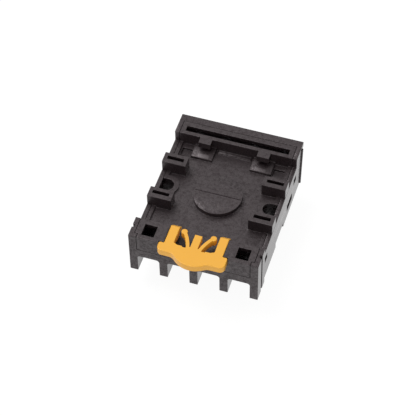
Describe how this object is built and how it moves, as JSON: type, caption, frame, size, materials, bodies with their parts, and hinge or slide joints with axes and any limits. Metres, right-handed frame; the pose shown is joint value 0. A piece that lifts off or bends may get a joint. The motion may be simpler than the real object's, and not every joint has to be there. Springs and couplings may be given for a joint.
{
  "type": "relay socket",
  "caption": "Plug-in relay socket for rail or panel, with round pin pattern, keyed spigot hole, screw terminals at both ends and a sliding rail clip.",
  "frame": {"origin": "on the axis of the relay's centre spigot, at the mouth of its hole in the relay seat", "axes": "+Z from the relay seat towards the rail side, +Y from the rail clip towards the fixed hooks, +X across the socket"},
  "size_m": [0.0418, 0.0579, 0.024],
  "materials": {
    "black_polycarbonate": "fine moulded texture",
    "yellow_acetal": "semi-gloss moulded",
    "brass_strip": "stamped sheet",
    "spring_brass": "rolled and tin flashed",
    "zinc_plated_steel": "bright zinc plated"
  },
  "bodies": {
    "housing": {"socket_body": "black_polycarbonate", "back_cover": "black_polycarbonate", "terminal_strip_1": "brass_strip", "terminal_strip_2": "brass_strip", "terminal_strip_3": "brass_strip", "terminal_strip_4": "brass_strip", "terminal_strip_5": "brass_strip", "terminal_strip_6": "brass_strip", "terminal_strip_7": "brass_strip", "terminal_strip_8": "brass_strip", "pin_contact_1": "spring_brass", "pin_contact_2": "spring_brass", "pin_contact_3": "spring_brass", "pin_contact_4": "spring_brass", "pin_contact_5": "spring_brass", "pin_contact_6": "spring_brass", "pin_contact_7": "spring_brass", "pin_contact_8": "spring_brass"},
    "clip": {"rail_clip": "yellow_acetal"},
    "clamp_1": {"clamp_plate_1": "zinc_plated_steel"},
    "screw_1": {"terminal_screw_1": "zinc_plated_steel"},
    "clamp_2": {"clamp_plate_2": "zinc_plated_steel"},
    "screw_2": {"terminal_screw_2": "zinc_plated_steel"},
    "clamp_3": {"clamp_plate_3": "zinc_plated_steel"},
    "screw_3": {"terminal_screw_3": "zinc_plated_steel"},
    "clamp_4": {"clamp_plate_4": "zinc_plated_steel"},
    "screw_4": {"terminal_screw_4": "zinc_plated_steel"},
    "clamp_5": {"clamp_plate_5": "zinc_plated_steel"},
    "screw_5": {"terminal_screw_5": "zinc_plated_steel"},
    "clamp_6": {"clamp_plate_6": "zinc_plated_steel"},
    "screw_6": {"terminal_screw_6": "zinc_plated_steel"},
    "clamp_7": {"clamp_plate_7": "zinc_plated_steel"},
    "screw_7": {"terminal_screw_7": "zinc_plated_steel"},
    "clamp_8": {"clamp_plate_8": "zinc_plated_steel"},
    "screw_8": {"terminal_screw_8": "zinc_plated_steel"}
  },
  "joints": [
    {"name": "clip_slide", "type": "slide", "parent": "housing", "child": "clip", "axis": [0, -1, 0], "range_m": [0, 0.003], "stiffness_N_per_m": 800},
    {"name": "clamp_1_slide", "type": "slide", "parent": "housing", "child": "clamp_1", "axis": [0, 0, -1], "range_m": [0, 0.0028]},
    {"name": "screw_1_turn", "type": "hinge", "parent": "clamp_1", "child": "screw_1", "pos_m": [-0.0147, -0.0195, 0.0125], "axis": [0, 0, -1], "range_deg": [0, 1681]},
    {"name": "clamp_2_slide", "type": "slide", "parent": "housing", "child": "clamp_2", "axis": [0, 0, -1], "range_m": [0, 0.0028]},
    {"name": "screw_2_turn", "type": "hinge", "parent": "clamp_2", "child": "screw_2", "pos_m": [-0.0049, -0.0195, 0.0125], "axis": [0, 0, -1], "range_deg": [0, 1681]},
    {"name": "clamp_3_slide", "type": "slide", "parent": "housing", "child": "clamp_3", "axis": [0, 0, -1], "range_m": [0, 0.0028]},
    {"name": "screw_3_turn", "type": "hinge", "parent": "clamp_3", "child": "screw_3", "pos_m": [0.0049, -0.0195, 0.0125], "axis": [0, 0, -1], "range_deg": [0, 1681]},
    {"name": "clamp_4_slide", "type": "slide", "parent": "housing", "child": "clamp_4", "axis": [0, 0, -1], "range_m": [0, 0.0028]},
    {"name": "screw_4_turn", "type": "hinge", "parent": "clamp_4", "child": "screw_4", "pos_m": [0.0147, -0.0195, 0.0125], "axis": [0, 0, -1], "range_deg": [0, 1681]},
    {"name": "clamp_5_slide", "type": "slide", "parent": "housing", "child": "clamp_5", "axis": [0, 0, -1], "range_m": [0, 0.0028]},
    {"name": "screw_5_turn", "type": "hinge", "parent": "clamp_5", "child": "screw_5", "pos_m": [-0.0147, 0.0195, 0.0125], "axis": [0, 0, -1], "range_deg": [0, 1681]},
    {"name": "clamp_6_slide", "type": "slide", "parent": "housing", "child": "clamp_6", "axis": [0, 0, -1], "range_m": [0, 0.0028]},
    {"name": "screw_6_turn", "type": "hinge", "parent": "clamp_6", "child": "screw_6", "pos_m": [-0.0049, 0.0195, 0.0125], "axis": [0, 0, -1], "range_deg": [0, 1681]},
    {"name": "clamp_7_slide", "type": "slide", "parent": "housing", "child": "clamp_7", "axis": [0, 0, -1], "range_m": [0, 0.0028]},
    {"name": "screw_7_turn", "type": "hinge", "parent": "clamp_7", "child": "screw_7", "pos_m": [0.0049, 0.0195, 0.0125], "axis": [0, 0, -1], "range_deg": [0, 1681]},
    {"name": "clamp_8_slide", "type": "slide", "parent": "housing", "child": "clamp_8", "axis": [0, 0, -1], "range_m": [0, 0.0028]},
    {"name": "screw_8_turn", "type": "hinge", "parent": "clamp_8", "child": "screw_8", "pos_m": [0.0147, 0.0195, 0.0125], "axis": [0, 0, -1], "range_deg": [0, 1681]}
  ],
  "couplings": [
    {"joint": "screw_1_turn", "follows": "clamp_1_slide", "rad_per_m": 10472},
    {"joint": "screw_2_turn", "follows": "clamp_2_slide", "rad_per_m": 10472},
    {"joint": "screw_3_turn", "follows": "clamp_3_slide", "rad_per_m": 10472},
    {"joint": "screw_4_turn", "follows": "clamp_4_slide", "rad_per_m": 10472},
    {"joint": "screw_5_turn", "follows": "clamp_5_slide", "rad_per_m": 10472},
    {"joint": "screw_6_turn", "follows": "clamp_6_slide", "rad_per_m": 10472},
    {"joint": "screw_7_turn", "follows": "clamp_7_slide", "rad_per_m": 10472},
    {"joint": "screw_8_turn", "follows": "clamp_8_slide", "rad_per_m": 10472}
  ]
}
